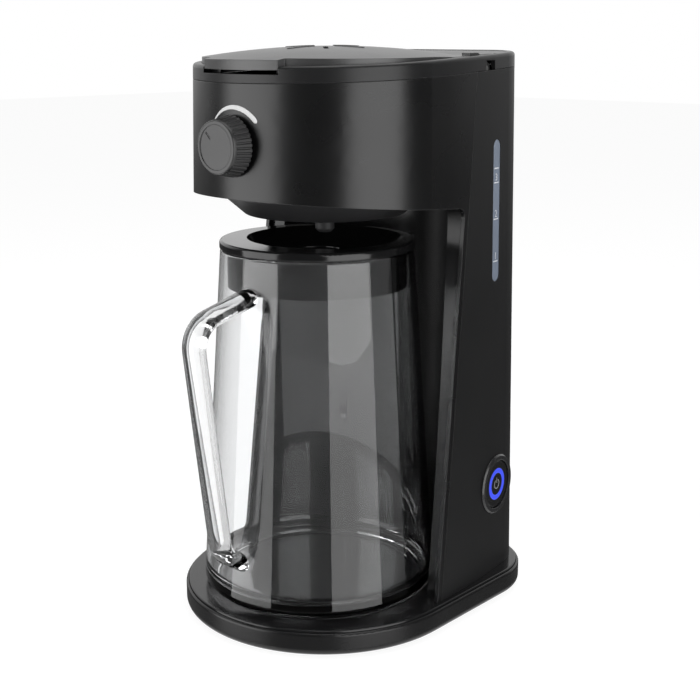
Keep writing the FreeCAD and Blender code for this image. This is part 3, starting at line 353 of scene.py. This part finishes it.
FILTER_SHAPE = {"Staves": 24, "Rings": 5, "Low Radius": 0.0424, "High Radius": 0.0466, "Low Height": 0.2960,
                "High Height": 0.3350, "Wire": 0.00045, "Axis": (0.0, BAY_Y, 0.0)}
filter_wire = moulded("filter wire", (0.55, 0.55, 0.54), RUBBED_METAL, 0.28, grain=2600, edge=0.0002,
                      metallic=1.0)
cage_tree = wire_cage_tree()
cage_seed = link_object("filter_wires_seed", bpy.data.meshes.new("filter_wires_seed"))
cage = cage_seed.modifiers.new("wire cage", "NODES")
cage.node_group = cage_tree
for item in cage_tree.interface.items_tree:
    if item.in_out == "INPUT" and item.name in FILTER_SHAPE:
        cage[item.identifier] = FILTER_SHAPE[item.name]
    if item.in_out == "INPUT" and item.name == "Material":
        cage[item.identifier] = filter_wire
cage_made = cage_seed.evaluated_get(bpy.context.evaluated_depsgraph_get())
cage_mesh = bpy.data.meshes.new_from_object(cage_made)
cage_mesh.name = "filter_wires"
cage_seed.modifiers.remove(cage)
bpy.data.objects.remove(cage_seed)
filter_wires = link_object("filter_wires", cage_mesh)
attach(filter_wires, "machine")
grey_silicone = moulded("silicone", (0.06, 0.06, 0.062), (0.10, 0.10, 0.10), 0.50, grain=1200, depth=0.08)
finish(grey_silicone, "drip_stop_valve", "check_valve", "inlet_hose", "riser_hose")


# Water side. The blow-moulded polypropylene tank stands behind the bay, with the cast aluminium flow
# heater screwed under it in the base. Its level shows in a narrow smoke-blue polycarbonate window
# that is clipped into the right side.
tank_pp = moulded("tank PP", (0.10, 0.11, 0.12), (0.2, 0.2, 0.2), 0.35)
finish(tank_pp, "water_tank")
window_blue = moulded("window smoke PC", (0.190, 0.222, 0.280), (0.28, 0.31, 0.37), 0.20, grain=900,
                      depth=0.02, edge=0.0003)
finish(window_blue, "water_window")
cast_aluminium = moulded("heater aluminium", (0.55, 0.56, 0.57), RUBBED_METAL, 0.45, grain=1400,
                         depth=0.4, metallic=1.0)
finish(cast_aluminium, "heater_tube", "heater_brackets", "thermostat")


# Strength knob. A fluted black ABS knob, pressed on a steel shaft that turns the bypass selector. The
# thin-to-thick white arc pad-printed on the head round it shows which way is stronger.
knob_abs = moulded("knob ABS", (0.0160, 0.0160, 0.0165), RUBBED_BLACK, 0.30, grain=2200, depth=0.06,
                   specular=0.68)
finish(knob_abs, "strength_knob")
finish(pin_steel, "knob_shaft")
finish(inner_pp, "shaft_bush", "selector_valve")
FILM = 0.00008


def ink(name, colour):
    """A print's finish: the same colour all over, matt and with no wear."""
    return moulded(name, colour, colour, 0.45, depth=0.05, wear=0.0)


def surface_tree(name):
    """A search tree over a CAD node's triangles, for printing on its face."""
    mesh = nodes[name].data
    corners = [vertex.co.copy() for vertex in mesh.vertices]
    return BVHTree.FromPolygons(corners, [list(polygon.vertices) for polygon in mesh.polygons])


def film_faces(tall, wide, start):
    """The faces of a closed thin film over a grid of tall by wide points, front layer first."""
    half = tall * wide

    def at(i, j, side):
        return start + i * wide + j + side * half

    faces = []
    for i in range(tall - 1):
        for j in range(wide - 1):
            faces.append((at(i, j, 0), at(i, j + 1, 0), at(i + 1, j + 1, 0), at(i + 1, j, 0)))
            faces.append((at(i, j, 1), at(i + 1, j, 1), at(i + 1, j + 1, 1), at(i, j + 1, 1)))
    for j in (0, wide - 1):
        for i in range(tall - 1):
            faces.append((at(i, j, 0), at(i + 1, j, 0), at(i + 1, j, 1), at(i, j, 1)))
    for i in (0, tall - 1):
        for j in range(wide - 1):
            faces.append((at(i, j, 0), at(i, j, 1), at(i, j + 1, 1), at(i, j + 1, 0)))
    return faces


def printed(name, node, grids, direction, material, body):
    """Ink on a node's face: grids of points are laid on it along a direction, as one thin closed film."""
    tree = surface_tree(node)
    aim = Vector(direction).normalized()
    points, faces = [], []
    for rows in grids:
        start = len(points)
        found = [tree.ray_cast(Vector(point), aim)[0] for row in rows for point in row]
        points += [place - aim * FILM for place in found]
        points += [place + aim * FILM for place in found]
        faces += film_faces(len(rows), len(rows[0]), start)
    mesh = bpy.data.meshes.new(name)
    mesh.from_pydata(points, [], faces)
    mesh.materials.append(material)
    solid = bmesh.new()
    solid.from_mesh(mesh)
    bmesh.ops.recalc_face_normals(solid, faces=solid.faces)
    solid.to_mesh(mesh)
    solid.free()
    piece = link_object(name, mesh)
    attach(piece, body)


KNOB_Z = 0.305
ARC_R = 0.0221
ARC_THIN = 0.0004
ARC_THICK = 0.00145
ARC_START = math.radians(-51)
ARC_END = math.radians(52)
ARC_STEPS = 64
ARC_SWELL = 1.6
ARC_CURVE = 0.8
ARC_ROUND = 0.065
ARC_TIP = 0.02
IN_FRONT_Y = -0.2
arc_rows = []
for step in range(ARC_STEPS + 1):
    share = step / ARC_STEPS
    angle = ARC_START + (ARC_END - ARC_START) * share
    half_width = ARC_THIN + (ARC_THICK - ARC_THIN) * min(1.0, share * ARC_SWELL) ** ARC_CURVE
    past = max(0.0, (share - 1 + ARC_ROUND) / ARC_ROUND)
    half_width *= math.sqrt(max(ARC_TIP, 1 - past ** 2))
    row = []
    for across in (-1, -0.33, 0.33, 1):
        radius = ARC_R + across * half_width
        row.append((radius * math.sin(angle), IN_FRONT_Y, KNOB_Z + radius * math.cos(angle)))
    arc_rows.append(row)
print_white = ink("white print", (0.80, 0.80, 0.80))
printed("strength_arc", "front_housing", [arc_rows], (0, 1, 0), print_white, "machine")


# Level marks. Four ticks and the numbers 1 to 3 tell how much water is in the tank. They are
# pad-printed in pale ink on the outside of the polycarbonate window, as a film on its face.
WINDOW_Y = 0.0700
TICK_HALF = 0.0030
TICK_THICK = 0.00045
TICK_HEIGHTS = {"full": 0.2860, "3": 0.2770, "2": 0.2540, "1": 0.2270}
DIGIT_TALL = 0.0046
DIGIT_TO_FONT = 0.72
DIGIT_LIFT = 0.0013
OUTSIDE_X = 0.2
tick_grids = []
for height in TICK_HEIGHTS.values():
    rows = []
    for level in (height - TICK_THICK, height + TICK_THICK):
        rows.append([(OUTSIDE_X, WINDOW_Y + TICK_HALF * across, level) for across in (-1, -0.5, 0, 0.5, 1)])
    tick_grids.append(rows)
window_print = ink("window print", (0.62, 0.64, 0.68))
printed("level_ticks", "water_window", tick_grids, (-1, 0, 0), window_print, "machine")
window_tree = surface_tree("water_window")
for digit in ("1", "2", "3"):
    letter = bpy.data.curves.new("digit", "FONT")
    letter.body = digit
    letter.size = DIGIT_TALL / DIGIT_TO_FONT
    letter.align_x = "CENTER"
    letter.extrude = FILM
    letter.resolution_u = 3
    flat = bpy.data.objects.new("digit", letter)
    digit_mesh = bpy.data.meshes.new_from_object(flat)
    digit_mesh.name = "level_" + digit
    low = TICK_HEIGHTS[digit] + DIGIT_LIFT
    for vertex in digit_mesh.vertices:
        across, up, out = vertex.co
        outside = Vector((OUTSIDE_X, WINDOW_Y + across, low + up))
        place = window_tree.ray_cast(outside, Vector((-1, 0, 0)))[0]
        vertex.co = place + Vector((out, 0, 0))
    digit_mesh.materials.clear()
    digit_mesh.materials.append(window_print)
    bpy.data.objects.remove(flat)
    digit_piece = link_object("level_" + digit, digit_mesh)
    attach(digit_piece, "machine")


# Power switch. A black ABS cap with a lit blue ring of polycarbonate round its middle, in a chamfered
# bezel that snaps into the right side near the base. The power symbol is pad-printed on the cap.
bezel_grey = moulded("bezel satin grey", (0.020, 0.020, 0.021), (0.10, 0.10, 0.10), 0.22, depth=0.03,
                     specular=0.6)
finish(bezel_grey, "bezel")
cap_abs = moulded("switch cap ABS", (0.009, 0.009, 0.0095), WORN_ABS, 0.22, depth=0.04)
finish(cap_abs, "power_button", "switch_body")
RING_BLUE = (0.02, 0.03, 0.16)
ring_light = moulded("lit blue ring", RING_BLUE, RING_BLUE, 0.30, grain=900, depth=0.02, wear=0.0)
ring_shader = ring_light.node_tree.nodes["Principled BSDF"]
ring_shader.inputs["Emission Color"].default_value = (0.045, 0.075, 0.80, 1.0)
ring_shader.inputs["Emission Strength"].default_value = 1.0
finish(ring_light, "button_light_ring")
CAP_POINT = Vector((0.08225, 0.0745, 0.0770))
CAP_OUT = Vector((0.99173, 0.12833, 0.0))
CAP_ACROSS = Vector((-0.12833, 0.99173, 0.0))
SYMBOL_R = 0.0031
SYMBOL_HALF = 0.00036
SYMBOL_GAP = math.radians(32)
SYMBOL_STEPS = 36
BAR_HEIGHTS = (0.0008, 0.0044)
symbol_start = CAP_POINT + CAP_OUT * 0.05


def on_cap(across, up):
    """The start of a ray to the cap, from its middle moved across and up."""
    return symbol_start + CAP_ACROSS * across + Vector((0, 0, up))


symbol_ring = []
for step in range(SYMBOL_STEPS + 1):
    angle = SYMBOL_GAP + (2 * math.pi - 2 * SYMBOL_GAP) * step / SYMBOL_STEPS
    row = []
    for side in (-1, 1):
        radius = SYMBOL_R + side * SYMBOL_HALF
        row.append(on_cap(radius * math.sin(angle), radius * math.cos(angle)))
    symbol_ring.append(row)
symbol_bar = [[on_cap(side * SYMBOL_HALF, height) for side in (-1, 1)] for height in BAR_HEIGHTS]
symbol_grey = ink("symbol print", (0.34, 0.34, 0.36))
printed("power_symbol", "power_button", [symbol_ring, symbol_bar], -CAP_OUT, symbol_grey, "button")


# Jug. Press-and-blow clear soda glass, a little wavy, with a solid glass handle fused on while hot. Its
# lid is a gloss black ABS moulding with a dished strainer top, which plugs into the mouth.
RIPPLE_SCALE = 16.0
RIPPLE_STRENGTH = 0.06
RIPPLE_RELIEF = 0.001
GLASS_HAZE = 0.02
jug_glass, glass_shader, glass_coordinates = new_material("jug glass")
glass_shader.inputs["Base Color"].default_value = (0.97, 0.975, 0.98, 1.0)
glass_shader.inputs["Transmission Weight"].default_value = 1.0
glass_shader.inputs["IOR"].default_value = 1.47
glass_noise = jug_glass.node_tree.nodes.new("ShaderNodeTexNoise")
glass_noise.inputs["Scale"].default_value = RIPPLE_SCALE
glass_bump = jug_glass.node_tree.nodes.new("ShaderNodeBump")
glass_bump.inputs["Strength"].default_value = RIPPLE_STRENGTH
glass_bump.inputs["Distance"].default_value = RIPPLE_RELIEF
glass_rough = jug_glass.node_tree.nodes.new("ShaderNodeMapRange")
glass_rough.inputs["To Min"].default_value = 0.0
glass_rough.inputs["To Max"].default_value = GLASS_HAZE
glass_link = jug_glass.node_tree.links.new
glass_link(glass_coordinates.outputs["Object"], glass_noise.inputs["Vector"])
glass_link(glass_noise.outputs["Fac"], glass_bump.inputs["Height"])
glass_link(glass_noise.outputs["Fac"], glass_rough.inputs["Value"])
glass_link(glass_bump.outputs["Normal"], glass_shader.inputs["Normal"])
glass_link(glass_rough.outputs["Result"], glass_shader.inputs["Roughness"])
finish(jug_glass, "jug_glass")
jug_lid_abs = moulded("jug lid ABS", BLACK_ABS, WORN_ABS, 0.13, grain=1200, depth=0.02)
finish(jug_lid_abs, "jug_lid")


# Studio. A pale floor and a white surround behind the machine, two wide tall soft boxes at its front
# left and right, and a broad one overhead. The floor is left out of mirror rays, so that the glossy
# faces show the soft boxes as long bands.
FLOOR_HALF = 6.0
FLOOR_SEEN = 0.90
FLOOR_BOUNCES = 0.5
WORLD_BOUNCES = 1.5
floor_mesh = bpy.data.meshes.new("floor")
floor_z = cad_box[0].z
floor_mesh.from_pydata([(-FLOOR_HALF, -FLOOR_HALF, floor_z), (FLOOR_HALF, -FLOOR_HALF, floor_z),
                        (FLOOR_HALF, FLOOR_HALF, floor_z), (-FLOOR_HALF, FLOOR_HALF, floor_z)],
                       [], [(0, 1, 2, 3)])
floor = link_object("floor", floor_mesh)
floor.visible_glossy = False


def straight_ray(tree, path, most):
    """1 for what the camera sees directly or through glass alone; the world counts one bounce more."""
    seen = math_node(tree, "MAXIMUM", path.outputs["Is Camera Ray"], path.outputs["Is Transmission Ray"])
    bounces = math_node(tree, "SUBTRACT", path.outputs["Ray Depth"], path.outputs["Transmission Depth"])
    return math_node(tree, "MULTIPLY", seen, math_node(tree, "LESS_THAN", bounces, most))


floor_paint = bpy.data.materials.new("pale floor")
floor_paint.use_nodes = True
floor_tree = floor_paint.node_tree
floor_nodes = floor_tree.nodes
floor_nodes.clear()
floor_link = floor_tree.links.new
floor_diffuse = floor_nodes.new("ShaderNodeBsdfDiffuse")
floor_diffuse.inputs["Color"].default_value = (0.80, 0.80, 0.80, 1.0)
floor_shadow = floor_nodes.new("ShaderNodeBsdfDiffuse")
floor_shadow.inputs["Color"].default_value = (0.20, 0.20, 0.20, 1.0)
floor_glow = floor_nodes.new("ShaderNodeEmission")
floor_glow.inputs["Strength"].default_value = FLOOR_SEEN
floor_pale = floor_nodes.new("ShaderNodeAddShader")
floor_link(floor_shadow.outputs[0], floor_pale.inputs[0])
floor_link(floor_glow.outputs[0], floor_pale.inputs[1])
floor_choice = floor_nodes.new("ShaderNodeMixShader")
floor_out = floor_nodes.new("ShaderNodeOutputMaterial")
floor_path = floor_nodes.new("ShaderNodeLightPath")
floor_link(straight_ray(floor_tree, floor_path, FLOOR_BOUNCES), floor_choice.inputs["Fac"])
floor_link(floor_diffuse.outputs[0], floor_choice.inputs[1])
floor_link(floor_pale.outputs[0], floor_choice.inputs[2])
floor_link(floor_choice.outputs[0], floor_out.inputs["Surface"])
floor.data.materials.append(floor_paint)

WORLD_DIFFUSE = 0.30
WORLD_ROOM = 0.08
WORLD_BACK = 1.0
BACK_WAY = (-0.656, 0.755, 0.0)
BACK_FADE = (0.15, 0.6)
HORIZON_FADE = (-0.12, 0.06)
DOWN_FADE = (0.35, 0.75)
world = bpy.data.worlds.new("studio")
bpy.context.scene.world = world
world.use_nodes = True
world_tree = world.node_tree
world_light = world_tree.nodes["Background"]
world_light.inputs["Color"].default_value = (1.0, 1.0, 1.0, 1.0)
world_link = world_tree.links.new
world_path = world_tree.nodes.new("ShaderNodeLightPath")
world_way = world_tree.nodes.new("ShaderNodeTexCoord")
world_dot = world_tree.nodes.new("ShaderNodeVectorMath")
world_dot.operation = "DOT_PRODUCT"
world_dot.inputs[1].default_value = BACK_WAY
world_link(world_way.outputs["Generated"], world_dot.inputs[0])
world_axes = world_tree.nodes.new("ShaderNodeSeparateXYZ")
world_link(world_way.outputs["Generated"], world_axes.inputs[0])


def world_step(value, fade):
    """0 below the fade, 1 above it and smooth between."""
    node = world_tree.nodes.new("ShaderNodeMapRange")
    node.interpolation_type = "SMOOTHSTEP"
    node.inputs["From Min"].default_value = fade[0]
    node.inputs["From Max"].default_value = fade[1]
    world_link(value, node.inputs["Value"])
    return node.outputs["Result"]


world_behind = math_node(world_tree, "MULTIPLY", world_step(world_dot.outputs["Value"], BACK_FADE),
                         world_step(world_axes.outputs["Z"], HORIZON_FADE))
world_down = math_node(world_tree, "MULTIPLY", world_axes.outputs["Z"], -1.0)
world_behind = math_node(world_tree, "MAXIMUM", world_behind, world_step(world_down, DOWN_FADE))
world_more = math_node(world_tree, "MULTIPLY_ADD", world_behind, WORLD_BACK - WORLD_ROOM,
                       WORLD_ROOM - WORLD_DIFFUSE)
world_mirror = math_node(world_tree, "MAXIMUM", world_path.outputs["Is Glossy Ray"],
                         world_path.outputs["Is Transmission Ray"])
world_sharp = math_node(world_tree, "LESS_THAN", world_path.outputs["Diffuse Depth"], 0.5)
world_mirror = math_node(world_tree, "MULTIPLY", world_mirror, world_sharp)
world_strength = math_node(world_tree, "MULTIPLY_ADD", world_mirror, world_more, WORLD_DIFFUSE)
world_straight = straight_ray(world_tree, world_path, WORLD_BOUNCES)
world_strength = math_node(world_tree, "MAXIMUM", world_strength, world_straight)
world_link(world_strength, world_light.inputs["Strength"])


def soft_lamp(name, place, target, width, height, radiance):
    """A rectangular soft box that faces a point, as bright all over as its radiance says."""
    data = bpy.data.lights.new(name, "AREA")
    data.shape = "RECTANGLE"
    data.size = width
    data.size_y = height
    data.energy = radiance * math.pi * width * height
    lamp = link_object(name, data)
    lamp.location = place
    aim = Vector(target) - Vector(place)
    lamp.rotation_euler = aim.to_track_quat("-Z", "Y").to_euler()


soft_lamp("front_left_lamp", (-0.70, -1.33, 0.30), (0, 0, 0.25), width=1.34, height=1.9, radiance=2.6)
soft_lamp("right_lamp", (1.47, -0.29, 0.30), (0, 0, 0.25), width=1.42, height=1.9, radiance=2.6)
soft_lamp("top_lamp", (0.1, 0.2, 1.7), (0, 0, 0.2), width=1.2, height=1.2, radiance=2.0)

bpy.context.scene.view_settings.view_transform = "Standard"
